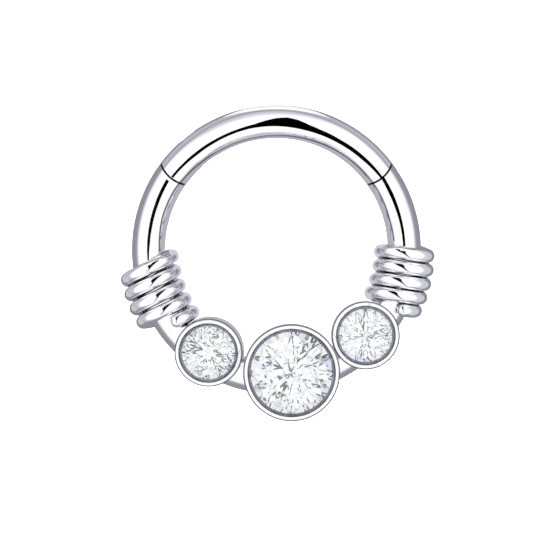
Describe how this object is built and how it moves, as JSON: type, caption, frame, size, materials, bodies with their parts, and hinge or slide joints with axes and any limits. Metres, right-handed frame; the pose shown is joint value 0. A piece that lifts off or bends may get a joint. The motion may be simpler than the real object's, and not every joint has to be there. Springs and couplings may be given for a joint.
{
  "type": "clicker ring",
  "caption": "Hinged clicker ring of round polished wire with bezel-set round stones at the front and wound wire wraps beside them.",
  "frame": {"origin": "on the surface the ring lies on, at the centre of its bounding box in X and Y; the ring's own centre is at X -0.048 mm, Y +0.439 mm, Z +1.12 mm", "axes": "+Z along the ring's axis, towards the front where the stones face; +Y towards the hinged segment; +X towards the clasp"},
  "size_m": [0.0112, 0.0112, 0.0034],
  "materials": {
    "polished_steel": "mirror-polished surgical steel",
    "wrap_wire": "mirror-polished drawn steel wire",
    "clear_stone": "brilliant-cut clear cubic zirconia"
  },
  "bodies": {
    "ring": {"ring_body": "polished_steel", "wire_wrap_left": "wrap_wire", "wire_wrap_right": "wrap_wire", "stone_left": "clear_stone", "stone_center": "clear_stone", "stone_right": "clear_stone"},
    "segment": {"hinged_segment": "polished_steel", "hinge_pin": "polished_steel"}
  },
  "joints": [
    {"name": "segment_hinge", "type": "hinge", "parent": "ring", "child": "segment", "pos_m": [-0.00313, 0.00386, 0.00112], "axis": [0, 0, 1], "range_deg": [0, 90]}
  ]
}
